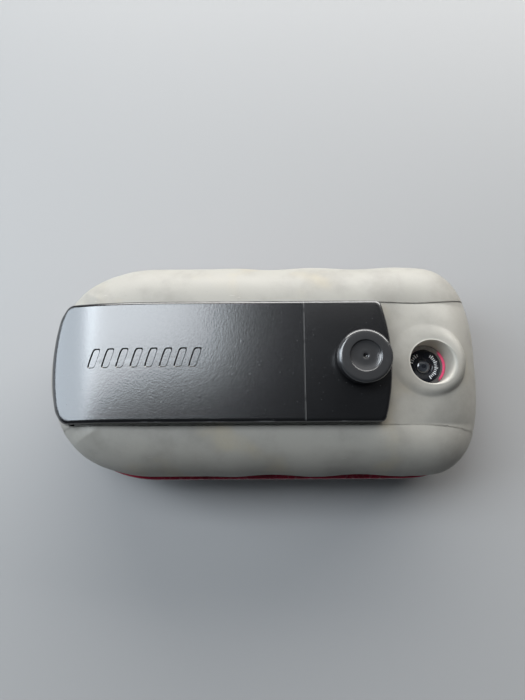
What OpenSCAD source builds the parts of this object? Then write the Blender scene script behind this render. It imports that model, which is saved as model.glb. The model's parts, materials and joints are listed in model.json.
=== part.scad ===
// Handheld GPS unit, lying on its screen with its back up.
// +X points to the top (camera) end, +Y to the right-hand side seen from the
// screen, +Z out of the back. The flat bezel face lies on z = 0.

/* [Body] */
// Length from the bottom end to the top end
body_len = 114; // [112:1:116]
// Width over the accent band
body_w = 58; // [57:0.5:59]
// Thickness from the bezel face to the back of the spine
body_h = 35; // [35:0.5:36]
// Height of the plane where the front and rear cases meet
parting_z = 14.2; // [14:0.1:14.4]
// Height of the accent band
band_h = 3.2; // [2.6:0.1:3.6]
// Wall thickness of the cases
wall = 1.8; // [1.6:0.1:2]
// Thickness of the rubber grips
grip_t = 1.6; // [1.4:0.1:1.6]

/* [Spine] */
// Width of the black spine on the back
spine_w = 29.8; // [29.6:0.1:30]
// Place of the top end of the spine
spine_top_x = 31.4; // [31:0.1:32]
// Place of the seam between the battery door and the fixed spine head
seam_x = 10.2; // [10:0.1:10.6]
// Step of the spine above the deck that it stands on
spine_step = 3.5; // [3.2:0.1:3.5]
// Radius of the spine's long top edges
spine_edge_r = 1; // [0.6:0.1:1.4]

/* [Camera and clip button] */
// Place of the camera well along the unit
camera_x = 42; // [41.5:0.1:42.5]
// Radius of the camera well
well_r = 5.4; // [5.3:0.05:5.6]
// Height of the lens plate's face
lens_plate_z = 24; // [23.5:0.1:24.5]
// Place of the clip button along the unit
button_x = 24; // [23.5:0.1:24.2]
// Radius of the clip button's head
button_r = 6.4; // [6:0.1:6.6]
// Height of the clip button above the spine
button_h = 5.4; // [5:0.1:6]
// Radius of the clip button's neck
button_neck_r = 4.1; // [3.8:0.1:4.4]

/* [Screen] */
// Length of the screen window
window_l = 65; // [62:1:66]
// Width of the screen window
window_w = 40; // [38:1:41]
// Thickness of the bezel around the window
bezel_t = 1.2; // [1:0.1:1.4]

/* [Batteries] */
// Radius of an AA cell
cell_r = 7; // [6.8:0.1:7]
// Length of an AA cell over its terminal
cell_l = 50.2; // [49.5:0.1:50.4]

/* [Moving parts] */
// Travel of the power key
key_travel = 0.6; // [0.4:0.1:0.6]
// Travel of the door latch
latch_travel = 4; // [3:0.5:4]

/* [Hidden] */

// Colours
grey = [0.45, 0.44, 0.41];
black = [0.09, 0.09, 0.10];
crimson = [0.45, 0.04, 0.10];
steel = [0.72, 0.72, 0.74];
gold = [0.83, 0.66, 0.30];
board_green = [0.05, 0.30, 0.16];

// Places worked out from the driving sizes
fit_gap = 0.1;
slip = 0.05;
outline_points = 56;
rear_len = body_len;
rear_w = body_w - 1;
band_len = body_len - 1.4;
wide_z = 18;
deck_z = body_h - spine_step;
top_c = 36;
top_n = 2.9;
low_c = 28;
low_n = 2.15;
grip_cut_y = spine_w / 2 + 0.35;
spine_drop_l = 17;
spine_low_z = 14.5;
door_low_z = 21.1;
cell_z = deck_z + 0.5 - cell_r;
cell_y = cell_r + 0.05;
tray_x0 = -44.8;
tray_x1 = 9;
tray_floor_z = 17.9;
board_z = 14.6;
board_t = 1.2;
board_top = board_z + board_t;
touch_z = bezel_t + 0.3;
lcd_z = touch_z + 1.2;
case_post_x = 41;
case_post_y = 18;
board_post_x = 30;
board_post_y = 19.5;
spine_screw_x = 17;
spine_screw_y = 10.5;
cap_half_w = 7.2;
cap_low_z = 14.6;
cap_top_z = 20.65;
key_x = 36;
key_z = 17.4;
latch_z = 24.25;
latch_x = -55.4;
latch_tilt = 20.5;
collar_r = 8.9;
collar_tube_r = 7.2;
collar_low_z = deck_z - 3;

// ---------------------------------------------------------------- shapes

function signed_pow(v, k) = sign(v) * pow(abs(v), k);
function clamp(v, low, high) = max(low, min(high, v));

// Plan outline: straight sides, and a superellipse at each end.
function outline(len, wid) = [
    for (i = [0:outline_points - 1])
        let (a = 360 * (i + 0.5) / outline_points)
        let (top = cos(a) > 0)
        let (n = top ? top_n : low_n)
        let (c = top ? top_c : low_c)
        let (x = c + (len / 2 - c) * pow(abs(cos(a)), 2 / n))
        [top ? x : -x, wid / 2 * signed_pow(sin(a), 2 / n)]
];

function ring(len, wid, z) = [for (p = outline(len, wid)) [p.x, p.y, z]];

// One ring of the rear form: step 0 is its widest line, step rear_steps its
// flat deck, and inset pulls it inward along its normal.
rear_steps = 8;
function rear_ring(step, inset) = [
    for (p = outline(rear_len, rear_w))
        let (cx = clamp(p.x, -low_c, top_c - 6))
        let (vx = p.x - cx)
        let (reach = norm([vx, p.y]))
        let (endness = pow(vx / reach, 2))
        let (flat_end = p.x > 0 ? 0.5 : 0.56)
        let (flat = 0.507 * (1 - endness) + flat_end * endness)
        let (k = 2.35 - 0.35 * endness)
        let (f = 90 * step / rear_steps)
        let (t = flat + (1 - flat) * pow(cos(f), 2 / k) - inset * cos(f) / reach)
        let (z = wide_z + (deck_z - wide_z) * pow(sin(f), 2 / k) - inset * sin(f))
        [cx + vx * t, p.y * t, z]
];

module loft(rings) {
    n = len(rings[0]);
    m = len(rings);
    sides = [
        for (j = [0:m - 2], i = [0:n - 1])
            let (a = (i + 1) % n)
            [j * n + i, (j + 1) * n + i, (j + 1) * n + a, j * n + a]
    ];
    low = [for (i = [0:n - 1]) i];
    high = [for (i = [n - 1:-1:0]) (m - 1) * n + i];
    polyhedron([for (r = rings) each r], concat([low], sides, [high]));
}

// Form of the rear half, down to the parting plane.
module rear_form(inset, low_z = parting_z) {
    tuck = 0.35;
    low = ring(rear_len - 2 * (inset + tuck), rear_w - 2 * (inset + tuck), low_z);
    loft(concat([low], [for (s = [0:rear_steps]) rear_ring(s, inset)]));
}

// Plan of the spine between its seam cut and its rounded bottom end.
function spine_end_ring(x0, x1, w, z) = concat(
    [[x0, -w, z], [x0, w, z]],
    [
        for (a = [90:10:270])
            let (n = 5, depth = 12)
            [x1 + depth + depth * signed_pow(cos(a), 2 / n), w * signed_pow(sin(a), 2 / n), z]
    ]
);

// Half-width of the spine at a height, with its rounded long edges.
function spine_half(z, inset) =
    let (over = clamp((z - (body_h - spine_edge_r)) / spine_edge_r, 0, 1))
    spine_w / 2 - spine_edge_r * (1 - sqrt(1 - over * over)) - inset;

// Form of the spine from x0 to its bottom end, where it curls down.
module spine_form(inset, x0) {
    k = 2.2;
    rings = [
        for (f = [14, 20, 28, 36, 44, 52, 60, 67, 73, 78, 83, 87, 90])
            let (drop = spine_drop_l * pow(cos(f), 2 / k))
            let (z = spine_low_z + (body_h - spine_low_z) * pow(sin(f), 2 / k))
            let (x1 = -(body_len / 2 - spine_drop_l) - drop + inset * cos(f))
            spine_end_ring(x0, x1, spine_half(z, inset), z - inset * sin(f))
    ];
    loft(rings);
}

// Plan of the fixed spine head, convex towards the camera.
module head_plan(shrink = 0) {
    bulge_r = 50;
    intersection() {
        translate([spine_top_x - shrink - bulge_r, 0])
            circle(bulge_r, $fn = 200);
        translate([seam_x, -spine_w / 2 + shrink])
            square([spine_top_x, spine_w - 2 * shrink]);
    }
}

module at_corners(x, y) {
    for (sx = [-1, 1], sy = [-1, 1])
        translate([sx * x, sy * y, 0])
            children();
}

// A block given by its two corners.
module block(a, b) {
    translate(a)
        cube(b - a);
}

// Forces one clean mesh out of the shapes that are lofted.
module as_mesh() {
    resize([0, 0, 0])
        children();
}

module screw(shank_r, shank_l, head_r, head_h) {
    difference() {
        union() {
            cylinder(shank_l, shank_r, shank_r, $fn = 24);
            translate([0, 0, -head_h])
                cylinder(head_h, head_r - 0.25, head_r, $fn = 32);
        }
        for (a = [0, 90])
            rotate([0, 0, a])
                translate([0, 0, -head_h])
                    cube([head_r * 1.2, 0.4, head_h], center = true);
    }
}

// ----------------------------------------------------------- front half

function front_ring(inset, z) = ring(band_len - 2 * inset, body_w - 2 * inset, z);

module front_case() {
    band_low = parting_z - band_h;
    color(black)
        as_mesh()
            difference() {
                loft([
                    front_ring(4.2, 0), front_ring(3.3, 0.5), front_ring(2.6, 1.6),
                    front_ring(1.6, 5), front_ring(0.9, 9), front_ring(0.6, band_low),
                    front_ring(1.35, band_low), front_ring(1.35, parting_z)
                ]);
                difference() {
                    loft([
                        front_ring(5.6, bezel_t), front_ring(4.6, 3),
                        front_ring(3.4, 6), front_ring(3.2, 20)
                    ]);
                    at_corners(case_post_x, case_post_y)
                        cylinder(parting_z, 2.7, 2.7, $fn = 32);
                }
                block([-window_l / 2, -window_w / 2, -1], [window_l / 2, window_w / 2, 3]);
                at_corners(case_post_x, case_post_y)
                    translate([0, 0, 6])
                        cylinder(20, 1.05, 1.05, $fn = 24);
                seal_ring(0.05);
            }
}

module seal_ring(slack) {
    difference() {
        translate([0, 0, parting_z - 0.8 - slack])
            linear_extrude(0.8 + slack)
                polygon(outline(band_len - 3.9 + 2 * slack, body_w - 3.9 + 2 * slack));
        translate([0, 0, parting_z - 2])
            linear_extrude(4)
                polygon(outline(band_len - 5.5 - 2 * slack, body_w - 5.5 - 2 * slack));
    }
}

module case_seal() {
    color([0.2, 0.2, 0.2])
        as_mesh()
            seal_ring(0);
}

module accent_band() {
    low = parting_z - band_h;
    color(crimson)
        as_mesh()
            difference() {
                loft([
                    front_ring(0.5, low), front_ring(0.12, low + 0.5),
                    front_ring(0, low + band_h / 2),
                    front_ring(0.12, parting_z - 0.5), front_ring(0.5, parting_z)
                ]);
                translate([0, 0, low - 1])
                    linear_extrude(band_h + 2)
                        polygon(outline(band_len - 2.6, body_w - 2.6));
            }
}

module frame_ring(len, wid, border, thick) {
    difference() {
        translate([-len / 2, -wid / 2, 0])
            cube([len, wid, thick]);
        translate([-len / 2 + border, -wid / 2 + border, -1])
            cube([len - 2 * border, wid - 2 * border, thick + 2]);
    }
}

module screen_gasket() {
    color([0.15, 0.15, 0.15])
        translate([0, 0, bezel_t])
            frame_ring(window_l + 5, window_w + 5, 2, 0.3);
}

module touch_panel() {
    l = window_l + 5;
    w = window_w + 5;
    color([0.12, 0.13, 0.15])
        block([-l / 2, -w / 2, touch_z], [l / 2, w / 2, touch_z + 1.1]);
}

module lcd_module() {
    l = window_l + 4;
    w = window_w + 3.4;
    color(steel)
        union() {
            block([-l / 2, -w / 2, lcd_z], [l / 2, w / 2, lcd_z + 2.4]);
            block([-l / 2 + 2, -w / 2 + 2, lcd_z + 2.4], [l / 2 - 2, w / 2 - 2, lcd_z + 3.1]);
        }
}

// Ribbon that leaves the display's edge and folds up to the board.
module lcd_flex() {
    x0 = -window_l / 2 - 2;
    t = 0.25;
    reach = 3;
    z0 = lcd_z + 1;
    color([0.75, 0.45, 0.12])
        union() {
            block([x0 - reach, -9, z0], [x0 - 0.02, 9, z0 + t]);
            block([x0 - reach, -9, z0], [x0 - reach + t, 9, board_z - 0.7]);
            block([x0 - reach, -9, board_z - 0.7 - t], [x0 + 4, 9, board_z - 0.7]);
            block([x0 - 0.5, -10, board_z - 0.7], [x0 + 5, 10, board_z]);
        }
}

// ------------------------------------------------------------ rear half

// Edge between a grip and the centre of the back, flaring at both ends.
module grip_side(sy, gap) {
    edge = [
        for (x = [-60:4:60])
            let (flare = 2.2 * pow(max(0, (x - 38) / 16, (-x - 44) / 10), 2))
            [x, sy * (grip_cut_y + gap + flare)]
    ];
    translate([0, 0, -5])
        linear_extrude(60)
            polygon(concat([[-60, sy * 40]], edge, [[60, sy * 40]]));
}

module key_slot(grow) {
    half = 2.15 + grow;
    translate([key_x, 20, key_z])
        rotate([-90, 0, 0])
            hull()
                for (s = [-1, 1])
                    translate([s * 2.5, 0, 0])
                        cylinder(12, half, half, $fn = 32);
}

module grip(sy) {
    color(grey)
        as_mesh()
            intersection() {
                difference() {
                    rear_form(0);
                    rear_form(grip_t, -1);
                    if (sy > 0)
                        key_slot(0);
                }
                grip_side(sy, 0);
            }
}

module grip_left() {
    grip(-1);
}

module grip_right() {
    grip(1);
}

// Raised collar round the camera, with the well that leads down to the lens.
module camera_collar() {
    well = well_r + 0.02;
    color(grey)
        translate([camera_x, 0, 0])
            rotate_extrude($fn = 64)
                polygon([
                    [4, 19], [collar_tube_r, 19], [collar_tube_r, collar_low_z],
                    [collar_r, collar_low_z], [collar_r - 0.1, deck_z - 1.2],
                    [collar_r - 0.5, deck_z - 0.2], [collar_r - 1.2, deck_z + 0.4],
                    [collar_r - 2.1, deck_z + 0.6], [well + 0.5, deck_z + 0.6],
                    [well, deck_z + 0.1], [well, 22.6], [4, 22.6]
                ]);
}

// Stepped hole that the camera collar sits in.
module collar_seat() {
    translate([camera_x, 0, 18]) {
        cylinder(30, collar_tube_r + 0.02, collar_tube_r + 0.02, $fn = 64);
        translate([0, 0, collar_low_z - 0.02 - 18])
            cylinder(30, collar_r + 0.02, collar_r + 0.02, $fn = 64);
    }
}

module cap_pocket() {
    intersection() {
        difference() {
            rear_form(-1);
            rear_form(1.7);
        }
        block([-70, -cap_half_w - fit_gap, cap_low_z - fit_gap], [-40, cap_half_w + fit_gap, 22]);
    }
    block([-60, -4.5, 15.5], [-50, 4.5, 20.2]);
}

// What stays standing inside the rear case's cavity.
module rear_case_posts() {
    at_corners(case_post_x, case_post_y)
        cylinder(40, 2.9, 2.9, $fn = 32);
    at_corners(board_post_x, board_post_y)
        translate([0, 0, board_top])
            cylinder(40, 2.2, 2.2, $fn = 32);
}

// Space that the door's outside sweeps as it starts to lift off its seat.
module door_sweep() {
    hull()
        for (lift = [0, 8])
            translate([seam_x, 0, body_h])
                rotate([0, lift, 0])
                    translate([-seam_x, 0, -body_h])
                        spine_form(-fit_gap, seam_x);
}

// Seat that the door's curled bottom end closes over.
module door_seat() {
    difference() {
        union() {
            door_sweep();
            block([-70, -11, 0], [-46.3, 11, 40]);
            block([-48, -grip_cut_y, 0], [-46.3, grip_cut_y, 40]);
        }
        spine_form(2.2, seam_x);
        block([-46.3, -20, 0], [20, 20, 40]);
        block([-70, -20, 0], [20, 20, door_low_z - fit_gap]);
    }
}

// Openings for the cells, camera, power key, latch and screws.
module rear_case_openings() {
    half = cell_r * 2 + 0.2;
    block([tray_x0, -half, 20], [tray_x1 + 0.2, half, 40]);
    collar_seat();
    block([-60, -3, 22.1], [-49, latch_travel + 3.5, 28.6]);
    key_slot(0);
    at_corners(case_post_x, case_post_y) {
        cylinder(30, 1.1, 1.1, $fn = 24);
        translate([0, 0, 18.4])
            cylinder(30, 2.1, 2.1, $fn = 32);
    }
    at_corners(board_post_x, board_post_y)
        translate([0, 0, board_top - 1])
            cylinder(6.5, 0.86, 0.86, $fn = 24);
    for (s = [-1, 1])
        translate([spine_screw_x, s * spine_screw_y, 25])
            cylinder(20, 1.1, 1.1, $fn = 24);
    translate([button_x, 0, 25])
        cylinder(20, 1.6, 1.6, $fn = 24);
}

module rear_case() {
    color(grey)
        as_mesh()
            difference() {
                union() {
                    difference() {
                        rear_form(0);
                        grip_side(1, -slip);
                        grip_side(-1, -slip);
                    }
                    rear_form(grip_t + 0.01);
                }
                difference() {
                    rear_form(grip_t + wall, -1);
                    rear_case_posts();
                }
                door_seat();
                cap_pocket();
                rear_case_openings();
            }
}

module battery_tray() {
    half = cell_r * 2 + 0.2;
    side_t = 0.8;
    color(black)
        as_mesh()
            difference() {
                intersection() {
                    rear_form(grip_t + wall + 0.05, -1);
                    block([tray_x0 - 1.2, -half - side_t, tray_floor_z - 1.2],
                          [tray_x1 + 1, half + side_t, 29.6]);
                }
                block([tray_x0, -half, tray_floor_z], [tray_x1, half, 40]);
                block([-34, -8.5, 10], [-17, 8.5, 30]);
            }
}

// -------------------------------------------------------------- battery

module cell() {
    nub = 1.2;
    rotate([0, 90, 0])
        rotate_extrude($fn = 48)
            polygon([
                [0, 0], [cell_r - 0.6, 0], [cell_r, 0.6], [cell_r, cell_l - nub - 0.6],
                [cell_r - 0.6, cell_l - nub], [2.75, cell_l - nub],
                [2.75, cell_l - 0.2], [2.5, cell_l], [0, cell_l]
            ]);
}

module battery_1() {
    color([0.72, 0.55, 0.25])
        translate([tray_x1 - 0.4 - cell_l, cell_y, cell_z])
            cell();
}

module battery_2() {
    color([0.72, 0.55, 0.25])
        translate([tray_x0 + 0.4 + cell_l, -cell_y, cell_z])
            rotate([0, 0, 180])
                cell();
}

// Conical compression spring along +X, ten-sided wire.
module cone_spring(length, r0, r1) {
    turns = 2.5;
    steps = 50;
    wire_r = 0.3;
    sides = 8;
    rings = [
        for (s = [0:steps])
            let (u = s / steps)
            let (a = 360 * turns * u)
            let (r = r0 + (r1 - r0) * u)
            [
                for (q = [0:sides - 1])
                    let (b = 360 * q / sides)
                    let (d = r + wire_r * cos(b))
                    [wire_r + (length - 2 * wire_r) * u + wire_r * sin(b), d * cos(a), d * sin(a)]
            ]
    ];
    loft(rings);
}

module battery_springs() {
    free = tray_x1 - tray_x0 - cell_l - 0.8;
    color(steel) {
        translate([tray_x0 + 0.35, cell_y, cell_z])
            cone_spring(free, 4.6, 2.6);
        translate([tray_x1 - 0.35, -cell_y, cell_z])
            mirror([1, 0, 0])
                cone_spring(free, 4.6, 2.6);
    }
}

module battery_contacts() {
    plate = 5;
    color(gold) {
        block([tray_x0 + 0.02, -cell_y - plate, cell_z - plate],
              [tray_x0 + 0.32, cell_y + plate, cell_z + plate - 1.5]);
        for (s = [-1, 1])
            block([tray_x1 - 0.32, s * cell_y - plate, cell_z - plate],
                  [tray_x1 - 0.02, s * cell_y + plate, cell_z + plate - 1.5]);
    }
}

// ---------------------------------------------------------- electronics

module main_board() {
    color(board_green)
        difference() {
            translate([0, 0, board_z])
                linear_extrude(board_t)
                    polygon(outline(body_len - 11, body_w - 12));
            at_corners(case_post_x, case_post_y)
                cylinder(40, 3.1, 3.1, $fn = 32);
            at_corners(board_post_x, board_post_y)
                cylinder(40, 0.95, 0.95, $fn = 24);
        }
}

module shield_can() {
    color(steel)
        difference() {
            block([-6, -16, board_z - 2.2], [24, 8, board_z]);
            block([-5.7, -15.7, board_z - 1.9], [23.7, 7.7, board_z + 1]);
        }
}

module gps_antenna() {
    color([0.78, 0.72, 0.62])
        translate([20, 0, board_top]) {
            translate([-9, -9, 0])
                cube([18, 18, 3.6]);
            translate([-7.5, -7.5, 3.6])
                cube([15, 15, 0.1]);
        }
}

module camera_module() {
    color([0.16, 0.16, 0.17])
        translate([camera_x, 0, 0]) {
            block([-4.75, -4.75, board_top], [4.75, 4.75, board_top + 2.6]);
            translate([0, 0, board_top + 2.6])
                cylinder(lens_plate_z - 0.85 - board_top - 2.6, 3.7, 3.7, $fn = 48);
        }
}

module lens_plate() {
    color([0.03, 0.03, 0.035])
        translate([camera_x, 0, lens_plate_z - 0.8])
            difference() {
                cylinder(0.8, 4.38, 4.38, $fn = 64);
                cylinder(1, 1.85, 1.85, $fn = 48);
            }
}

module camera_lens() {
    color([0.10, 0.12, 0.16])
        translate([camera_x, 0, lens_plate_z - 0.8])
            rotate_extrude($fn = 48)
                polygon([
                    [0, 0], [1.83, 0], [1.83, 0.75],
                    for (a = [20:14:90]) [1.83 * cos(a), 0.6 + 0.45 * sin(a)]
                ]);
}

module camera_ring() {
    low = 22.62;
    color([0.86, 0.16, 0.28])
        translate([camera_x, 0, 0])
            rotate_extrude($fn = 64)
                polygon([
                    [4.4, low], [well_r - 0.02, low], [well_r - 0.02, lens_plate_z + 0.8],
                    [4.4, lens_plate_z + 0.1]
                ]);
}

module beeper() {
    color([0.2, 0.2, 0.2])
        translate([-20, 12, board_z - 3])
            rotate_extrude($fn = 48)
                polygon([[0.8, 0], [5.6, 0], [6, 0.4], [6, 3], [0, 3], [0, 1.5], [0.8, 1.5]]);
}

module usb_socket() {
    color(steel)
        difference() {
            block([-54, -3.85, board_top], [-47, 3.85, board_top + 3.9]);
            block([-55, -3.5, board_top + 0.35], [-48, 3.5, board_top + 1.2]);
            block([-55, -3.5, board_top + 2.6], [-48, 3.5, board_top + 3.55]);
            block([-55, -3.5, board_top + 0.35], [-48, -2.4, board_top + 3.55]);
            block([-55, 2.4, board_top + 0.35], [-48, 3.5, board_top + 3.55]);
        }
}

module card_slot() {
    color(steel)
        difference() {
            block([-33, -7.5, board_top], [-18, 7.5, board_top + 1.5]);
            block([-34, -5.6, board_top + 0.3], [-19.5, 5.6, board_top + 1.1]);
        }
}

module memory_card() {
    color(black)
        block([-33.6, -5.5, board_top + 0.33], [-19.6, 5.5, board_top + 1.03]);
}

module backup_cell() {
    color(steel)
        translate([-26, -13, board_z - 2.1])
            cylinder(2.1, 3.4, 3.4, $fn = 48);
}

// Side-facing switch behind the power key.
module power_switch() {
    color([0.3, 0.3, 0.3])
        union() {
            block([key_x - 1.9, 19.5, board_top], [key_x + 1.9, 22, board_top + 3.2]);
            translate([key_x, 22, key_z])
                rotate([-90, 0, 0])
                    cylinder(1.2, 0.9, 0.9, $fn = 24);
        }
}

// --------------------------------------------------- spine, button, screws

module spine_head() {
    color(black)
        difference() {
            union() {
                translate([0, 0, deck_z])
                    linear_extrude(spine_step - spine_edge_r)
                        head_plan();
                for (s = [0:4])
                    let (low = spine_edge_r * s / 5)
                    let (u = (s + 0.5) / 5)
                    translate([0, 0, body_h - spine_edge_r + low])
                        linear_extrude(spine_edge_r / 5)
                            head_plan(spine_edge_r * (1 - sqrt(1 - u * u)));
            }
            for (s = [-1, 1]) {
                block([seam_x - 1, s * 7.5 - 2.4, deck_z - 1],
                      [seam_x + 3, s * 7.5 + 2.4, deck_z + 2.1]);
                translate([spine_screw_x, s * spine_screw_y, deck_z - 1])
                    cylinder(3.4, 1.05, 1.05, $fn = 24);
            }
            translate([button_x, 0, deck_z - 1])
                cylinder(10, 1.6, 1.6, $fn = 24);
        }
}

module spine_screws() {
    color(steel)
        for (s = [-1, 1])
            translate([spine_screw_x, s * spine_screw_y, deck_z - grip_t - wall])
                screw(1, 5.4, 1.9, 1.1);
}

module case_screws() {
    color(steel)
        at_corners(case_post_x, case_post_y)
            translate([0, 0, 18.4])
                mirror([0, 0, 1])
                    screw(1, 11.4, 1.95, 1.3);
}

module board_screws() {
    color(steel)
        at_corners(board_post_x, board_post_y)
            translate([0, 0, board_z])
                screw(0.8, 5.8, 1.6, 0.9);
}

module clip_button() {
    under = body_h + 2.1;
    top = body_h + button_h;
    color(black)
        translate([button_x, 0, 0])
            rotate_extrude($fn = 96)
                polygon([
                    [1.55, body_h], [button_neck_r + 0.5, body_h],
                    [button_neck_r, body_h + 0.5], [button_neck_r, under - 0.4],
                    [button_neck_r + 0.6, under], [button_r - 0.5, under + 0.2],
                    [button_r, under + 0.8], [button_r, top - 0.9],
                    [button_r - 0.2, top - 0.5], [button_r - 0.7, top],
                    [3.75, top], [3.6, top - 0.45], [0.6, top - 0.45],
                    [0.35, top - 0.9], [0, top - 1], [0, top - 1.6], [1.55, top - 1.6]
                ]);
}

module clip_screw() {
    color(steel)
        translate([button_x, 0, deck_z - grip_t - wall])
            screw(1.5, grip_t + wall + spine_step + button_h - 1.7, 2.8, 1.4);
}

// --------------------------------------------------------- moving parts

module battery_door() {
    inner = 1.6;
    color(black)
        difference() {
            as_mesh()
                union() {
                    difference() {
                        spine_form(0, seam_x - fit_gap);
                        difference() {
                            spine_form(inner, seam_x - 1.8);
                            block([-60, -20, 0], [-50, 20, 27]);
                        }
                        spine_form(2, seam_x - 1.8);
                        block([-46.4, -20, 0], [20, 20, deck_z]);
                        block([-70, -20, 0], [20, 20, door_low_z]);
                    }
                    for (s = [-1, 1])
                        block([seam_x - 3, s * 7.5 - 2, deck_z + 0.9],
                              [seam_x + 2, s * 7.5 + 2, deck_z + 1.9]);
                }
            latch_place(0)
                block([-1, -5.15, -2.45], [1, latch_travel + 5.15, 2.45]);
            latch_place(0)
                block([-1, -2.15, -0.7], [6, latch_travel + 2.15, 0.7]);
        }
}

// Puts a shape at the latch: its x axis points into the unit.
module latch_place(shift) {
    translate([latch_x, shift, latch_z])
        rotate([0, latch_tilt, 0])
            children();
}

module door_latch() {
    color([0.16, 0.16, 0.17])
        latch_place(0)
            union() {
                block([-0.3, -5, -2.3], [0.9, 5, 2.3]);
                for (y = [-3.6:1.2:3.6])
                    block([-0.6, y - 0.25, -1.9], [-0.2, y + 0.25, 1.9]);
                block([0.5, -2, -0.55], [3.6, 2, 0.55]);
            }
}

module door_pad() {
    color([0.3, 0.3, 0.32])
        block([-36, -4.5, cell_z + cell_r + 0.05], [2, 4.5, body_h - 1.65]);
}

module usb_cap() {
    color([0.36, 0.35, 0.33])
        as_mesh()
            union() {
                intersection() {
                    difference() {
                        rear_form(0.02);
                        rear_form(1.6);
                    }
                    block([-70, -cap_half_w, cap_low_z], [-40, cap_half_w, cap_top_z]);
                }
                block([-55.9, -3.6, 16.2], [-54.3, 3.6, 19]);
            }
}

module power_key() {
    color([0.2, 0.2, 0.21])
        translate([key_x, 0, key_z])
            rotate([-90, 0, 0]) {
                hull()
                    for (s = [-1, 1])
                        translate([s * 2.5, 0, 24])
                            cylinder(4.9, 2.05, 2.05, $fn = 32);
                hull()
                    for (s = [-1, 1])
                        translate([s * 3, 0, 23.9])
                            cylinder(1, 2.4, 2.4, $fn = 32);
            }
}

front_case();
touch_panel();
screen_gasket();
lcd_module();
lcd_flex();
accent_band();
case_seal();
rear_case();
camera_collar();
grip_left();
grip_right();
battery_tray();
battery_1();
battery_2();
battery_springs();
battery_contacts();
main_board();
shield_can();
gps_antenna();
camera_module();
lens_plate();
camera_lens();
camera_ring();
beeper();
usb_socket();
card_slot();
memory_card();
backup_cell();
power_switch();
spine_head();
spine_screws();
case_screws();
board_screws();
clip_button();
clip_screw();
battery_door();
door_pad();
door_latch();
usb_cap();
power_key();
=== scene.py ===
"""Looks of the handheld GPS unit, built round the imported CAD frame.

Shapes are worked out in millimetres and made in metres, in the frame's axes: +X towards the
camera end, +Y towards the right-hand grip, +Z out of the back. The unit lies on its screen.
"""

import json
import math

import bmesh
import bpy
import numpy as np
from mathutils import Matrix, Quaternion, Vector


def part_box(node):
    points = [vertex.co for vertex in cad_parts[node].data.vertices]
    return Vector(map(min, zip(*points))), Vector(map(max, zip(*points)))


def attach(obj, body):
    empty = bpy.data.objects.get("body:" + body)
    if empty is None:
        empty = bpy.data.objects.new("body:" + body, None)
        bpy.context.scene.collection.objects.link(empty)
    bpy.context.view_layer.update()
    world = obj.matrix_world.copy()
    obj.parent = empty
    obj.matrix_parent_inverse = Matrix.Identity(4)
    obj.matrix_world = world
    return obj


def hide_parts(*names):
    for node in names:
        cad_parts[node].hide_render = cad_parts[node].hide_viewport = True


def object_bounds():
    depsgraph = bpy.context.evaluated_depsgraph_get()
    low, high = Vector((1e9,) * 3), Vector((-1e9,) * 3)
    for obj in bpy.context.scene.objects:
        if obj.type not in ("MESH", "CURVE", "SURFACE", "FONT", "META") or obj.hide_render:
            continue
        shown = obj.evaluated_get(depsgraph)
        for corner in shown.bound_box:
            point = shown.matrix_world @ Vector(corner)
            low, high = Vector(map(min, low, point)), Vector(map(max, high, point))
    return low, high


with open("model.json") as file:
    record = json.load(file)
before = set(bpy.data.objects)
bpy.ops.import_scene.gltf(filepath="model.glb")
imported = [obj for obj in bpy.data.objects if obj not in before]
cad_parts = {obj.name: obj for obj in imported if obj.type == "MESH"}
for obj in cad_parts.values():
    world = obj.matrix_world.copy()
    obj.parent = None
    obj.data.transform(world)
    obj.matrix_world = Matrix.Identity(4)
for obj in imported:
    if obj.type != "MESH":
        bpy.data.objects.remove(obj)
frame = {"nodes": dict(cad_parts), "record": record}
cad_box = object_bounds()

MM = 0.001


# ------------------------------------------------------------- driving sizes

def span(node):
    """Lowest and highest corner of a CAD node, in millimetres."""
    low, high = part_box(node)
    return np.array(low) / MM, np.array(high) / MM


CASE_LOW, CASE_HIGH = span("rear_case")
BAND_LOW, BAND_HIGH = span("accent_band")
HEAD_LOW, HEAD_HIGH = span("spine_head")
DOOR_LOW, DOOR_HIGH = span("battery_door")
BUTTON_LOW, BUTTON_HIGH = span("clip_button")
PLATE_LOW, PLATE_HIGH = span("lens_plate")
COLLAR_TOP = span("camera_collar")[1][2]
KEY_LOW, KEY_HIGH = span("power_key")
CAP_LOW, CAP_HIGH = span("usb_cap")
CELL_LOW, CELL_HIGH = span("battery_1")
TRAY_LOW, TRAY_HIGH = span("battery_tray")
GRIP_HIGH = span("grip_right")[1]

REAR_LEN = 2 * min(CASE_HIGH[0], -CASE_LOW[0])
REAR_W = 2 * GRIP_HIGH[1]
BAND_LEN = REAR_LEN - 1.4
BAND_W = 2 * BAND_HIGH[1]
PARTING_Z = BAND_HIGH[2]
WIDE_Z = 18.0
BODY_H = DOOR_HIGH[2]
DECK_Z = HEAD_LOW[2]
SEAM_X = HEAD_LOW[0]
SPINE_HALF = HEAD_HIGH[1]
SPINE_TOP_X = HEAD_HIGH[0]
SPINE_EDGE_R = 1.0
SPINE_DROP_L = 17.0
SPINE_LOW_Z = 14.5
SPINE_END_BULGE = 44.0
SPINE_CURL = 26.0
SPINE_BEND = 4.6
SPINE_RAKE = 0.245
SPINE_END_CORNER = 5.2
DOOR_LOW_Z = DOOR_LOW[2]
GRIP_T = 1.6
WALL = 1.8
GRIP_CUT_Y = SPINE_HALF + 0.35
CAMERA_X = (PLATE_LOW[0] + PLATE_HIGH[0]) / 2
BUTTON_X = (BUTTON_LOW[0] + BUTTON_HIGH[0]) / 2
LENS_Z = PLATE_HIGH[2]
WELL_R = 5.42
WELL_LIP = 1.0
WELL_LOW_Z = 22.6
COLLAR_FACE_R = 6.4
HINGE_SIDES = (-7.5, 7.5)
SEAT_X = -46.3       # the door's skirt reaches below the deck beyond this
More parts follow.
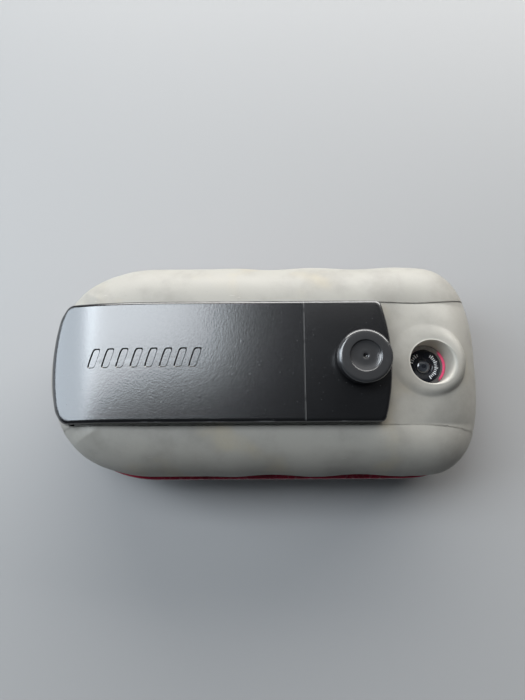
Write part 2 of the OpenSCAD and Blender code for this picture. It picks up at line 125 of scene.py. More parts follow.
LATCH_TRAVEL = 4.0
LATCH_AT = np.array([-54.4, 0.0, 24.25])
LATCH_TILT = math.radians(20.5)
SUNK = 0.12          # the centre panel lies this much lower than the grips
COLLAR_TURN = math.radians(-28)   # side on which the camera's collar stands proudest
OUTLINE_POINTS = 900


# ------------------------------------------------------------ mesh and shapes

def in_scene(name, data):
    """New object for a mesh, a light or a camera."""
    obj = bpy.data.objects.new(name, data)
    bpy.context.scene.collection.objects.link(obj)
    return obj


def new_object(name, points, faces):
    """Mesh object from points in millimetres."""
    mesh = bpy.data.meshes.new(name)
    mesh.from_pydata((np.asarray(points, float) * MM).tolist(), [], [tuple(f) for f in faces])
    mesh.update()
    return in_scene(name, mesh)


def loft(name, rings):
    """Closed solid through rings of equal point counts, anticlockwise from above, low to high."""
    rings = np.asarray(rings, float)
    m, n, _ = rings.shape
    i = np.arange(n)
    after = (i + 1) % n
    wall = np.stack([i, after, n + after, n + i], 1)
    faces = [face for j in range(m - 1) for face in (wall + j * n).tolist()]
    faces.append(i[::-1].tolist())
    faces.append(((m - 1) * n + i).tolist())
    return new_object(name, rings.reshape(-1, 3), faces)


def lathe(name, profile, x, segments=128):
    """Solid of revolution about a vertical line from an outline of (radius, height) points."""
    profile = np.asarray(profile, float)
    angle = 2 * np.pi * np.arange(segments) / segments
    points, rows = [], []
    for r, z in profile:
        if r < 1e-6:
            rows.append([len(points)] * segments)
            points.append((x, 0, z))
        else:
            rows.append(list(range(len(points), len(points) + segments)))
            points += [(x + r * math.cos(a), r * math.sin(a), z) for a in angle]
    faces = []
    for j, low in enumerate(rows):
        high = rows[(j + 1) % len(rows)]
        if low[0] == low[1] and high[0] == high[1]:
            continue
        for i in range(segments):
            a = (i + 1) % segments
            corners = [low[i], low[a], high[a], high[i]]
            faces.append([c for k, c in enumerate(corners) if c not in corners[:k]])
    return new_object(name, points, faces)


def block(low, high):
    x0, y0, z0 = low
    x1, y1, z1 = high
    return prism([(x0, y0), (x1, y0), (x1, y1), (x0, y1)], z0, z1)


def prism(plan, z0, z1):
    return loft("cutter", [[(x, y, z) for x, y in plan] for z in (z0, z1)])


def combine(obj, operation, *tools):
    """Boolean of closed meshes, applied at once. The tools are used up."""
    for tool in tools:
        modifier = obj.modifiers.new("cut", "BOOLEAN")
        modifier.operation = operation
        modifier.solver = "MANIFOLD"
        modifier.object = tool
        graph = bpy.context.evaluated_depsgraph_get()
        made = bpy.data.meshes.new_from_object(obj.evaluated_get(graph))
        obj.modifiers.clear()
        spent = obj.data
        obj.data = made
        bpy.data.meshes.remove(spent)
        bpy.data.meshes.remove(tool.data)


def cut(obj, *tools):
    combine(obj, "DIFFERENCE", *tools)


def add(obj, *tools):
    combine(obj, "UNION", *tools)


def shade(obj, angle):
    """Smooth shading that keeps edges sharper than the angle."""
    obj.data.shade_smooth()
    obj.data.set_sharp_from_angle(angle=math.radians(angle))


def angles(start, end, count):
    """Angles at even steps between two angles in degrees."""
    return np.radians(np.linspace(start, end, count))


def signed_pow(v, k):
    return np.sign(v) * np.abs(v) ** k


def resample(points, count, closed):
    """Points spaced evenly along a polyline."""
    path = np.vstack([points, points[:1]]) if closed else np.asarray(points)
    step = np.linalg.norm(np.diff(path, axis=0), axis=1)
    along = np.concatenate([[0], np.cumsum(step)])
    at = np.linspace(0, along[-1], count + 1)[:-1] if closed else np.linspace(0, along[-1], count)
    return np.stack([np.interp(at, along, path[:, k]) for k in range(path.shape[1])], 1)


# ---------------------------------------------------------------- case forms

TOP_C, TOP_N = 36.0, 2.9
LOW_C, LOW_N = 28.0, 2.15
RAY_END = TOP_C - 6
SIDE_FLAT, TOP_FLAT, LOW_FLAT = 0.507, 0.5, 0.56
WAVE_PITCH = 22.6
WAVE_X = 2.3


def outline(length, width, count=OUTLINE_POINTS):
    """Plan of the unit: straight sides, and a superellipse at each end."""
    a = np.linspace(0, 2 * np.pi, 24001)[:-1]
    top = np.cos(a) > 0
    n = np.where(top, TOP_N, LOW_N)
    c = np.where(top, TOP_C, LOW_C)
    x = c + (length / 2 - c) * np.abs(np.cos(a)) ** (2 / n)
    y = width / 2 * signed_pow(np.sin(a), 2 / n)
    return resample(np.stack([np.where(top, x, -x), y], 1), count, True)


PLAN = outline(REAR_LEN, REAR_W)


def finger_wave(x):
    """Shallow scallops along the grips, between the middle and the top end."""
    fade = np.clip((x + 16) / 10, 0, 1) * np.clip((44 - x) / 8, 0, 1)
    tucked = np.clip((46 - np.abs(x)) / 8, 0, 1)
    return -0.64 * tucked - (0.06 + 0.30 * np.cos(2 * np.pi * (x - WAVE_X) / WAVE_PITCH)) * fade


def flare(x):
    """How far a grip's edge swings outward near each end."""
    return 2.2 * np.maximum(0, np.maximum((x - 38) / 16, (-x - 44) / 10)) ** 2


def ray_shape(px, py):
    """Ray through a plan point: its start, its length, the form's flat share and exponent there."""
    cx = np.clip(px, -LOW_C, RAY_END)
    reach = np.hypot(px - cx, py)
    endness = ((px - cx) / np.maximum(reach, 1e-9)) ** 2
    flat_end = np.where(px > 0, TOP_FLAT, LOW_FLAT)
    return cx, reach, SIDE_FLAT * (1 - endness) + flat_end * endness, 2.35 - 0.35 * endness


def corner_crease(x, y):
    """Height of the soft hip that runs from each of the spine's bottom corners to the outline."""
    start = np.array([-41.0, 16.6])
    end = np.array([-50.5, 21.6])
    along = (end - start) / np.linalg.norm(end - start)
    across = np.array([along[1], -along[0]])
    rel = np.stack([x - start[0], np.abs(y) - start[1]], -1)
    u = rel @ along
    d = rel @ across
    reach = np.linalg.norm(end - start)
    fade = np.clip((u + 1.5) / 2.5, 0, 1) * np.clip((reach + 2.5 - u) / 3.5, 0, 1)
    tent = np.where(d > 0, 1 - d / 5.0, 1 + d / 2.4)
    return 0.6 * np.clip(tent, 0, 1) * fade


def crown(x, y):
    """How far the back falls away from its middle line, beyond the end of the spine."""
    ramp = np.clip((x - 27) / 13, 0, 1)
    ramp = ramp * ramp * (3 - 2 * ramp)
    inner = np.minimum(np.abs(y) / GRIP_CUT_Y, 1) ** 2
    outer = np.clip((REAR_W / 2 - np.abs(y)) / (REAR_W / 2 - GRIP_CUT_Y), 0, 1)
    return 1.35 * ramp * inner * outer


def rear_rings(inset=0.0, low_z=PARTING_Z, steps=66, deck_steps=0, plan=PLAN, detail=True):
    """Rings of the rear form, from the parting plane up its side and on to its flat deck."""
    px, py = plan[:, 0], plan[:, 1]
    cx, reach, flat, k = ray_shape(px, py)
    tuck = 0.35
    squeeze = 1 - (inset + tuck) / reach
    rings = [(np.stack([cx + (px - cx) * squeeze, py * squeeze, np.full_like(px, low_z)], 1), 1.0)]
    for f in angles(0, 90, steps + 1):
        c, s = math.cos(f), math.sin(f)
        t = flat + (1 - flat) * max(c, 0) ** (2 / k) - inset * c / reach
        z = WIDE_Z + (DECK_Z - WIDE_Z) * s ** (2 / k) - inset * s
        rings.append((np.stack([cx + (px - cx) * t, py * t, z], 1), c))
    for share in np.linspace(1, 0.03, deck_steps + 1)[1:] if deck_steps else []:
        t = flat * share
        z = np.full_like(px, DECK_Z - inset)
        rings.append((np.stack([cx + (px - cx) * t, py * t, z], 1), 0.0))
    if detail:
        for ring, c in rings:
            ring[:, 1] += np.sign(ring[:, 1]) * finger_wave(ring[:, 0]) * c ** 1.5
            high = (ring[:, 2] > WIDE_Z + 0.5) * (1 - c ** 4)
            ring[:, 2] += (corner_crease(ring[:, 0], ring[:, 1]) - crown(ring[:, 0], ring[:, 1])) * high
    return np.stack([ring for ring, _ in rings])


COARSE_PLAN = outline(REAR_LEN, REAR_W, 200)


def inner_form(inset, low_z=-1.0):
    """Plain, coarser rear form, for faces that stay inside."""
    return loft("cutter", rear_rings(inset, low_z, steps=14, plan=COARSE_PLAN, detail=False))


def rear_level(x, y, z):
    """Above 1 outside the rear form, below 1 inside it."""
    cx, away, flat, k = ray_shape(x, y)
    angle = np.arctan2(np.abs(y), x - cx)
    ends = []
    for c, part in ((RAY_END, PLAN[:, 0] > RAY_END), (-LOW_C, PLAN[:, 0] < -LOW_C)):
        p = PLAN[part & (PLAN[:, 1] >= 0)]
        around = np.arctan2(p[:, 1], p[:, 0] - c)
        order = np.argsort(around)
        ends.append(np.interp(angle, around[order], np.hypot(p[:, 0] - c, p[:, 1])[order]))
    reach = np.where(x > RAY_END, ends[0], np.where(x < -LOW_C, ends[1], REAR_W / 2))
    out = np.maximum((away / reach - flat) / (1 - flat), 0)
    up = np.maximum((z - WIDE_Z) / (DECK_Z - WIDE_Z), 0)
    return out ** k + up ** k


def rear_height(x, y):
    """Height of the rear form's surface, not a number outside its plan."""
    low, high = np.full_like(x, WIDE_Z), np.full_like(x, DECK_Z)
    for _ in range(40):
        mid = (low + high) / 2
        inside = rear_level(x, y, mid) < 1
        low, high = np.where(inside, mid, low), np.where(inside, high, mid)
    return np.where(rear_level(x, y, np.full_like(x, WIDE_Z)) < 1, (low + high) / 2, np.nan)


def grip_region(side, gap):
    """Prism over one grip, cut along its edge beside the spine and the centre panel."""
    x = np.linspace(-60, 60, 241)
    edge = np.stack([x, side * (GRIP_CUT_Y + gap + flare(x))], 1)
    ring = np.vstack([edge, [[60, side * 40], [-60, side * 40]]])
    return prism(ring, -5, 55)


def parting_groove(side):
    """Cutter with rounded shoulders, swept along the line between a grip and the centre panel."""
    x = np.linspace(-57, 57, 60001)
    y = side * (GRIP_CUT_Y + flare(x))
    z = rear_height(x, y)
    on = ~np.isnan(z)
    z = z - crown(x, y)
    path = np.stack([x[on], y[on], z[on]], 1)
    drop = np.array([0, 0, 1.0])
    ends = [path[0] - drop * d for d in (6, 3, 1)], [path[-1] - drop * d for d in (1, 3, 6)]
    path = resample(np.vstack([ends[0], path, ends[1]]), 420, False)
    h = 0.02
    at = [path[:, 0], path[:, 1], np.maximum(path[:, 2], WIDE_Z)]
    slope = []
    for k in range(3):
        high = [a + (h if i == k else 0) for i, a in enumerate(at)]
        low = [a - (h if i == k else 0) for i, a in enumerate(at)]
        slope.append(rear_level(*high) - rear_level(*low))
    normal = np.stack(slope, 1)
    normal /= np.linalg.norm(normal, axis=1)[:, None]
    tangent = np.gradient(path, axis=0)
    tangent /= np.linalg.norm(tangent, axis=1)[:, None]
    across = np.cross(tangent, normal)
    across /= np.linalg.norm(across, axis=1)[:, None]
    normal = np.cross(across, tangent)
    shoulder, depth, slit = 0.24, 0.24, 0.045
    turn = angles(0, 90, 7)
    right = np.stack([slit + shoulder * (1 - np.cos(turn)), -depth + depth * np.sin(turn)], 1)
    section = np.vstack([[[slit, -1.2]], right, [[slit + shoulder, 0.6], [-slit - shoulder, 0.6]],
                         (right * [-1, 1])[::-1], [[-slit, -1.2]]])
    sideways = section[None, :, :1] * across[:, None]
    return loft("cutter", path[:, None] + sideways + section[None, :, 1:] * normal[:, None])


# -------------------------------------------------------------- spine forms

def spine_half(z, inset):
    over = np.clip((z - (BODY_H - SPINE_EDGE_R)) / SPINE_EDGE_R, 0, 1)
    return SPINE_HALF - SPINE_EDGE_R * (1 - math.sqrt(1 - over * over)) - inset


def spine_sag(x):
    """How far the door's back arches down towards its bottom end."""
    return SPINE_BEND * np.clip((-20 - x) / 32, 0, 1.1) ** 3


def bowed_end(tip, half, bulge, corner, fillet_points=14, arc_points=90):
    """Half plan of a bowed end that points to +X, from its -Y edge to its +Y edge."""
    centre = tip - bulge
    y0 = half - corner
    x0 = centre + math.sqrt((bulge - corner) ** 2 - y0 ** 2)
    lean = math.atan2(y0, x0 - centre)
    fillet = np.linspace(lean, math.pi / 2, fillet_points)
    upper = np.stack([x0 + corner * np.cos(fillet), y0 + corner * np.sin(fillet)], 1)
    arc = np.linspace(-lean, lean, arc_points)[1:-1]
    nose = np.stack([centre + bulge * np.cos(arc), bulge * np.sin(arc)], 1)
    return np.vstack([(upper * [1, -1])[::-1], nose, upper])


def curl_angles(rows):
    """Angles at even steps up the end, round the curl's corner and along its top."""
    start, corner = math.radians(14), math.radians(68)
    up = np.linspace(0, math.sin(start) ** (2 / SPINE_CURL), 12)[:-1]
    along = np.linspace(math.cos(corner) ** (2 / SPINE_CURL), 0, rows // 2 + 1)[1:]
    bend = np.linspace(start, corner, rows - rows // 2)
    half = SPINE_CURL / 2
    return np.concatenate([np.arcsin(up ** half), bend, np.arccos(along ** half)])


def spine_form(inset, x0, rows=70, lift=0):
    """The door's form from x0 to its bottom end, where it curls down."""
    rings = []
    for f in curl_angles(rows):
        c, s = max(math.cos(f), 0), math.sin(f)
        z = SPINE_LOW_Z + (BODY_H - SPINE_LOW_Z) * s ** (2 / SPINE_CURL)
        x1 = -(REAR_LEN / 2 - SPINE_DROP_L) - SPINE_DROP_L * c ** (2 / SPINE_CURL) + inset * c
        w = spine_half(z, inset)
        end = -bowed_end(-x1, w, SPINE_END_BULGE, SPINE_END_CORNER)
        straight = np.linspace(end[-1, 0], x0, 40)[1:]
        plan = np.vstack([end, np.stack([straight, np.full_like(straight, -w)], 1),
                          np.stack([straight[::-1], np.full_like(straight, w)], 1)])
        rings.append(np.column_stack([plan, np.full(len(plan), z - inset * s)]))
    rings += [rings[-1] * [1, share, 1] for share in np.linspace(1, 0.02, 16)[1:]]
    rings = np.stack(rings)
    rake = SPINE_RAKE * np.maximum(rings[..., 2] - WIDE_Z, 0)
    rings[..., 0] += rake * np.clip((-34 - rings[..., 0]) / 20, 0, 1) ** 2
    share = np.clip((rings[..., 2] - DOOR_LOW_Z) / (BODY_H - DOOR_LOW_Z), 0, 1)
    rings[..., 2] -= spine_sag(rings[..., 0]) * share
    turn = math.radians(lift)
    rel = rings - [SEAM_X, 0, BODY_H]
    rings = rel.copy()
    rings[..., 0] = rel[..., 0] * math.cos(turn) + rel[..., 2] * math.sin(turn) + SEAM_X
    rings[..., 2] = -rel[..., 0] * math.sin(turn) + rel[..., 2] * math.cos(turn) + BODY_H
    return loft("cutter", rings)


# ----------------------------------------------------------------- materials

def set_inputs(node, **values):
    """Sets a node's inputs by name, with underscores for spaces."""
    for key, value in values.items():
        node.inputs[key.replace("_", " ")].default_value = value
    return node


class Look:
    """A Principled material that is built up in object coordinates, in millimetres."""

    def __init__(self, name, color, roughness, **settings):
        self.material = bpy.data.materials.new(name)
        self.material.use_nodes = True
        self.tree = self.material.node_tree
        self.shader = self.tree.nodes["Principled BSDF"]
        self.color = self.rgb(color)
        self.normal = None
        set_inputs(self.shader, Roughness=roughness, **settings)
        where = self.node("TexCoord")
        self.mm = self.vector("MULTIPLY", where.outputs["Object"], (1 / MM,) * 3)
        self.link(self.color, self.shader.inputs["Base Color"])

    def link(self, a, b):
        self.tree.links.new(a, b)

    def node(self, kind, **values):
        return set_inputs(self.tree.nodes.new("ShaderNode" + kind), **values)

    def rgb(self, color):
        node = self.node("RGB")
        node.outputs[0].default_value = (*color, 1)
        return node.outputs[0]

    def vector(self, operation, a, b):
        node = self.node("VectorMath")
        node.operation = operation
        self.link(a, node.inputs[0])
        node.inputs[1].default_value = b
        return node.outputs[0]

    def math(self, operation, a, b=0.0, c=None):
        node = self.node("Math")
        node.operation = operation
        for socket, v in zip(node.inputs, (a, b, c)):
            if v is None:
                continue
            if isinstance(v, (int, float)):
                socket.default_value = v
            else:
                self.link(v, socket)
        return node.outputs[0]

    def times(self, a, b):
        return self.math("MULTIPLY", a, b)

    def axis(self, name, vector=None):
        node = self.node("SeparateXYZ")
        self.link(vector or self.mm, node.inputs[0])
        return node.outputs["XYZ".index(name)]

    def around(self, centre_x):
        """X from the vertical line at centre_x, and the distance from it."""
        rel = self.vector("SUBTRACT", self.mm, (centre_x, 0, 0))
        x, y = self.axis("X", rel), self.axis("Y", rel)
        return x, self.math("SQRT", self.math("ADD", self.times(x, x), self.times(y, y)))

    def noise(self, size, detail=2.0, roughness=0.5, stretch=(1, 1, 1), distortion=0.0):
        """Noise whose features are about size millimetres across."""
        node = self.node("TexNoise", Scale=1 / size, Detail=detail, Roughness=roughness,
                         Distortion=distortion)
        self.link(self.vector("MULTIPLY", self.mm, stretch), node.inputs["Vector"])
        return node.outputs["Fac"]

    def cells(self, size, feature="F1", randomness=1.0):
        """Distance from the middles of cells about size millimetres across."""
        node = self.node("TexVoronoi", Scale=1 / size, Randomness=randomness)
        node.feature = feature
        self.link(self.mm, node.inputs["Vector"])
        return node.outputs["Distance"]

    def band(self, value, low, high):
        """0 below low, 1 above high, smooth between."""
        node = self.node("MapRange", From_Min=low, From_Max=high)
        node.interpolation_type = "SMOOTHSTEP"
        self.link(value, node.inputs["Value"])
        return node.outputs["Result"]

    def tint(self, color, amount):
        """Mixes another colour in by a 0-1 value."""
        node = self.node("Mix")
        node.data_type = "RGBA"
        self.link(amount, node.inputs["Factor"])
        self.link(self.color, node.inputs[6])
        self.link(self.rgb(color), node.inputs[7])
        self.color = node.outputs[2]
        self.link(self.color, self.shader.inputs["Base Color"])

    def gloss(self, value, low, high):
        """Roughness from a 0-1 value."""
        node = self.node("MapRange", To_Min=low, To_Max=high)
        self.link(value, node.inputs["Value"])
        self.link(node.outputs["Result"], self.shader.inputs["Roughness"])

    def bump(self, height, depth, strength=1.0):
        """Adds a relief of the given depth in millimetres."""
        node = self.node("Bump", Distance=depth * MM, Strength=strength)
        self.link(height, node.inputs["Height"])
        if self.normal:
            self.link(self.normal, node.inputs["Normal"])
        self.normal = node.outputs["Normal"]
        self.link(self.normal, self.shader.inputs["Normal"])


def scratches(look, size, share, turn):
    """Sparse hair scratches, as a 0-1 value."""
    long_way = look.noise(size, detail=3, stretch=turn)
    patch = look.noise(14, detail=1)
    return look.times(look.band(long_way, share, share + 0.03), look.band(patch, 0.5, 0.62))


def grey_look(name, color, roughness):
    """Warm grey soft-touch plastic, with handling marks, and painted light inside the camera well."""
    look = Look(name, color, roughness, Specular_IOR_Level=0.45)
    cloud = look.noise(9, detail=4, roughness=0.6)
    look.tint([c * 0.82 for c in color], look.band(cloud, 0.40, 0.75))
    yellowed = look.band(look.noise(17, detail=3), 0.55, 0.8)
    look.tint((color[0] * 1.16, color[1] * 1.06, color[2] * 0.86), yellowed)
    speck = look.noise(0.28, detail=2)
    look.tint([c * 0.7 for c in color], look.times(look.band(speck, 0.62, 0.75), 0.35))
    marks = scratches(look, 0.5, 0.70, (0.12, 1.0, 1.0))
    look.tint([min(1, c * 1.7) for c in color], look.times(marks, 0.35))
    # Painted light: the wall of the camera well is painted much lighter, as though lit.
    _, r = look.around(CAMERA_X)
    look.tint([min(1, c * 1.7) for c in color], look.band(r, 6.0, 5.4))
    look.gloss(cloud, roughness - 0.07, roughness + 0.09)
    look.bump(look.noise(0.32, detail=3), 0.012, 0.55)
    look.bump(look.noise(2.2, detail=2), 0.03, 0.15)
    look.bump(marks, -0.01, 0.5)
    return look.material


def spine_look():
    """Black plastic with a fine leather-like grain, worn smoother in patches, with wear and painted
    highlights along the seam and the top edges.
    """
    base = (0.004, 0.0041, 0.0048)
    look = Look("spine_black", base, 0.30, Specular_IOR_Level=0.95, IOR=1.55)
    pebble = look.cells(0.46, feature="SMOOTH_F1")
    fine = look.noise(0.3, detail=3)
    worn = look.noise(15, detail=3)
    look.tint((0.008, 0.0082, 0.009), look.times(look.band(worn, 0.45, 0.75), 0.5))
    dust = look.band(look.noise(0.45, detail=1), 0.76, 0.80)
    look.tint((0.28, 0.28, 0.28), look.times(dust, 0.3))
    # Lighter patchy strip on top either side of the seam: wear, and a painted highlight of the seam's
    # edge.
    patchy = look.band(look.noise(2.6, detail=3), 0.26, 0.50)
    seam = look.math("ABSOLUTE", look.math("SUBTRACT", look.axis("X"), SEAM_X))
    height = look.axis("Z")
    on_top = look.band(height, BODY_H - 0.6, BODY_H - 0.3)
    seam_wear_and_highlight = look.times(look.band(seam, 0.20, 0.12), on_top)
    look.tint((0.09, 0.09, 0.09), look.times(seam_wear_and_highlight, patchy))
    # Lighter patches along both top long edges: wear, and a painted highlight on the edge radius.
    side = look.math("ABSOLUTE", look.axis("Y"))
    at_side = look.band(side, SPINE_HALF - 0.42, SPINE_HALF - 0.28)
    arris_wear_and_highlight = look.times(at_side, look.band(height, BODY_H - 0.8, BODY_H - 0.5))
    look.tint((0.10, 0.10, 0.10), look.times(arris_wear_and_highlight, look.band(look.noise(3.2, detail=3), 0.46, 0.62)))
    look.gloss(fine, 0.16, 0.26)
    look.bump(pebble, 0.035, 0.22)
    look.bump(fine, 0.02, 0.24)
    look.bump(scratches(look, 0.3, 0.72, (1.0, 0.08, 1.0)), -0.004, 0.25)
    return look.material


def button_look():
    """Satin black with turned rings about the button's axis, and a painted sheen on its worn top."""
    look = Look("button_black", (0.007, 0.007, 0.008), 0.26, Specular_IOR_Level=1.0)
    _, r = look.around(BUTTON_X)
    # The flat top painted lighter: a painted sheen, with some wear.
    top_sheen_and_wear = look.band(look.axis("Z"), BUTTON_HIGH[2] - 0.9, BUTTON_HIGH[2] - 0.5)
    look.tint((0.030, 0.030, 0.031), top_sheen_and_wear)
    rings = look.math("SINE", look.times(r, 2 * math.pi / 0.34))
    look.bump(rings, 0.004, 0.5)
    look.bump(look.noise(0.25, detail=2), 0.006, 0.5)
    look.tint((0.05, 0.05, 0.052), look.times(scratches(look, 0.5, 0.66, (1, 0.2, 1)), 0.5))
    look.gloss(look.noise(3.5, detail=3), 0.12, 0.24)
    return look.material


def moulded_look(name, color, roughness, grain=0.25, depth=0.008):
    """Plain moulded plastic or rubber with a fine texture and slight soiling."""
    look = Look(name, color, roughness, Specular_IOR_Level=0.5)
    cloud = look.noise(6, detail=4)
    look.tint([c * 0.7 for c in color], look.times(look.band(cloud, 0.45, 0.8), 0.6))
    worn = look.times(scratches(look, 0.6, 0.7, (0.2, 1, 0.6)), 0.4)
    look.tint([min(1, c * 1.8 + 0.01) for c in color], worn)
    look.gloss(cloud, roughness - 0.08, roughness + 0.1)
    look.bump(look.noise(grain, detail=3), depth, 0.7)
    return look.material


def crimson_look():
    look = Look("crimson_plastic", (0.30, 0.006, 0.030), 0.24, Specular_IOR_Level=0.55, Coat_Weight=0.3,
                Coat_Roughness=0.12)
    cloud = look.noise(5, detail=3)
    look.tint((0.16, 0.003, 0.014), look.band(cloud, 0.45, 0.8))
    look.gloss(look.noise(1.2, detail=3), 0.18, 0.34)
    look.bump(look.noise(0.4, detail=2), 0.004, 0.5)
    return look.material


def glass_look():
    """Touch screen: dark glass with a printed border and finger smears."""
    look = Look("screen_glass", (0.006, 0.007, 0.008), 0.06, Specular_IOR_Level=0.6, Coat_Weight=1.0,
                Coat_Roughness=0.03)
    x, y = look.math("ABSOLUTE", look.axis("X")), look.math("ABSOLUTE", look.axis("Y"))
    inside = look.times(look.band(x, 31.9, 31.6), look.band(y, 19.4, 19.1))
    look.tint((0.022, 0.026, 0.027), inside)
    smear = look.noise(8, detail=5, roughness=0.65, stretch=(1, 0.45, 1), distortion=0.6)
    look.gloss(look.band(smear, 0.45, 0.8), 0.04, 0.22)
    look.bump(look.noise(0.15, detail=1), 0.001, 0.3)
    return look.material


def metal_look(name, color, roughness, grain=(0.06, 1, 1)):
    look = Look(name, color, roughness, Metallic=1.0)
    brushed = look.noise(0.35, detail=4, stretch=grain)
    stain = look.noise(4, detail=3)
    look.tint([c * 0.72 for c in color], look.band(stain, 0.5, 0.85))
    look.gloss(brushed, roughness - 0.08, roughness + 0.16)
    look.bump(brushed, 0.004, 0.6)
    return look.material


def board_look():
    """Green laminate with traces under the mask and small gold pads."""
    look = Look("board_laminate", (0.008, 0.075, 0.035), 0.35, Coat_Weight=0.5, Coat_Roughness=0.15)
    traces = look.cells(2.4, feature="DISTANCE_TO_EDGE", randomness=0.55)
    look.tint((0.018, 0.16, 0.075), look.band(traces, 0.12, 0.08))
    pads = look.cells(3.1, randomness=0.3)
    look.tint((0.62, 0.45, 0.14), look.band(pads, 0.17, 0.14))
    look.bump(look.band(traces, 0.12, 0.08), 0.02, 0.5)
    look.gloss(look.noise(3, detail=3), 0.22, 0.42)
    return look.material


def cell_look():
    """Printed sleeve of an AA cell: dark body, copper shoulder, thin band, bare steel ends."""
    look = Look("cell_wrap", (0.016, 0.016, 0.018), 0.28, Coat_Weight=0.6, Coat_Roughness=0.1)
    x = look.axis("X")
    y = look.axis("Y")
    toward = look.times(look.math("SIGN", y), x)
    middle = (CELL_LOW[0] + CELL_HIGH[0]) / 2
    shift = look.times(look.math("SIGN", y), middle)
    along = look.math("SUBTRACT", toward, shift)
    look.tint((0.60, 0.27, 0.08), look.band(along, 11.0, 11.2))
    stripe = look.times(look.band(along, 9.4, 9.5), look.band(along, 10.2, 10.1))
    look.tint((0.75, 0.73, 0.68), stripe)
    end = look.band(look.math("ABSOLUTE", along), 23.95, 24.05)
    look.tint((0.62, 0.62, 0.63), end)
    look.link(end, look.shader.inputs["Metallic"])
    look.gloss(look.noise(4, detail=4), 0.2, 0.4)
    look.bump(look.noise(0.8, detail=2), 0.006, 0.5)
    return look.material


def foam_look():
    look = Look("foam_pad", (0.055, 0.055, 0.06), 0.9)
    pores = look.cells(0.45, feature="SMOOTH_F1")
    # Painted shade: the pits of the pores are painted darker.
    look.tint((0.02, 0.02, 0.022), look.band(pores, 0.25, 0.1))
    look.bump(pores, 0.15, 0.8)
    look.gloss(pores, 0.82, 0.98)
    return look.material


def ceramic_look():
    look = Look("ceramic", (0.58, 0.52, 0.42), 0.6)
    top = look.band(look.axis("Z"), 19.35, 19.42)
    look.tint((0.66, 0.64, 0.60), top)
    look.tint((0.35, 0.30, 0.24), look.band(look.noise(0.5, detail=2), 0.66, 0.72))
    look.gloss(look.noise(1.2, detail=3), 0.45, 0.7)
    look.bump(look.noise(0.3, detail=3), 0.02, 0.5)
    return look.material


def film_look():
    look = Look("flex_film", (0.50, 0.24, 0.05), 0.25, Coat_Weight=0.4)
    lines = look.math("SINE", look.times(look.axis("Y"), 2 * math.pi / 0.6))
    look.tint((0.30, 0.13, 0.03), look.band(lines, -0.2, 0.2))
    look.gloss(look.noise(3, detail=2), 0.18, 0.34)
    look.bump(lines, 0.01, 0.4)
    return look.material


def ring_look():
    """Grey trim ring, painted bright red only on its lit side away from the spine: the red arc is a
    painted highlight.
    """
    look = Look("camera_ring_red", (0.13, 0.12, 0.115), 0.3, Specular_IOR_Level=0.5)
    x, r = look.around(CAMERA_X)
    # Painted highlight: the ring is red only where light falls on it, on the side away from the spine.
    arc = look.times(look.band(x, 3.3, 4.0), look.band(r, 4.76, 4.84))
    look.tint((0.85, 0.09, 0.20), arc)
    look.gloss(look.noise(1.5, detail=3), 0.18, 0.36)
    look.bump(look.noise(0.4, detail=2), 0.003, 0.5)
    return look.material


def lens_glass_look():
    look = Look("lens_glass", (0.016, 0.019, 0.026), 0.08, Coat_Weight=1.0, Coat_Roughness=0.04,
                Specular_IOR_Level=0.8)
    _, r = look.around(CAMERA_X)
    look.tint((0.05, 0.056, 0.068), look.times(look.band(r, 0.55, 0.62), look.band(r, 1.5, 1.35)))
    look.gloss(look.noise(1.0, detail=2), 0.05, 0.16)
    look.bump(look.noise(0.5, detail=1), 0.001, 0.4)
    return look.material


# --------------------------------------------------------------- the pieces

def finish_piece(obj, name, body, material, slot, *nodes, angle=32):
    """Names and shades a piece, ties it to its body and hides the CAD nodes it stands for."""
    obj.name = name
    obj.data.name = name
    obj.data.materials.clear()
    obj.data.materials.append(material)
    shade(obj, angle)
    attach(obj, body)
    if nodes:
        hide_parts(*nodes)
    return obj


def key_outline(y, reach, half):
    """Outline with round ends about the power key's middle, in the plane at y."""
    x, z = (KEY_LOW[0] + KEY_HIGH[0]) / 2, (KEY_LOW[2] + KEY_HIGH[2]) / 2
    turn = angles(-90, 90, 25)
    right = [(x + reach + half * math.cos(a), y, z + half * math.sin(a)) for a in turn]
    left = [(x - reach - half * math.cos(a), y, z - half * math.sin(a)) for a in turn]
    return (right + left)[::-1]


def key_opening():
    """Slot through the right-hand grip for the power key."""
    return loft("cutter", [key_outline(y, 2.5, 2.15) for y in (20, 32)])


def make_grips(material):
    for side, node in ((-1, "grip_left"), (1, "grip_right")):
        obj = loft(node, rear_rings())
        combine(obj, "INTERSECT", grip_region(side, 0.045))
        cut(obj, parting_groove(side), inner_form(GRIP_T))
        if side > 0:
            cut(obj, key_opening())
        finish_piece(obj, node + "_rubber", "housing", material, "grey_rubber", node)


def panel_relief(rings):
    """Raises the collar round the camera out of the panel, with a soft foot."""
    x, y, z = rings[..., 0], rings[..., 1], rings[..., 2]
    r = np.hypot(x - CAMERA_X, y)
    away = (1 - np.cos(np.arctan2(y, x - CAMERA_X) - COLLAR_TURN)) / 2
    top = COLLAR_TOP - 0.74 * away ** 0.9
    width = 2.3 + 2.5 * away ** 1.2
    shoulder = np.clip((r - COLLAR_FACE_R) / width, 0, 1)
    top = top - crown(x, y) * np.minimum(1, 2 * away)
    collar = top - (2.9 - 1.2 * away) * (1 - np.sqrt(1 - shoulder ** 2.2))
    collar = collar - np.maximum(r - COLLAR_FACE_R - width, 0) * 6
    soft = 0.35 + 0.45 * away
    blend = np.clip(0.5 + (collar - z) / (2 * soft), 0, 1)
    raised = z * (1 - blend) + collar * blend + soft * blend * (1 - blend)
    rings[..., 2] = np.where((z > WIDE_Z + 2) & (x > 20), np.maximum(raised, z), z)
    return rings


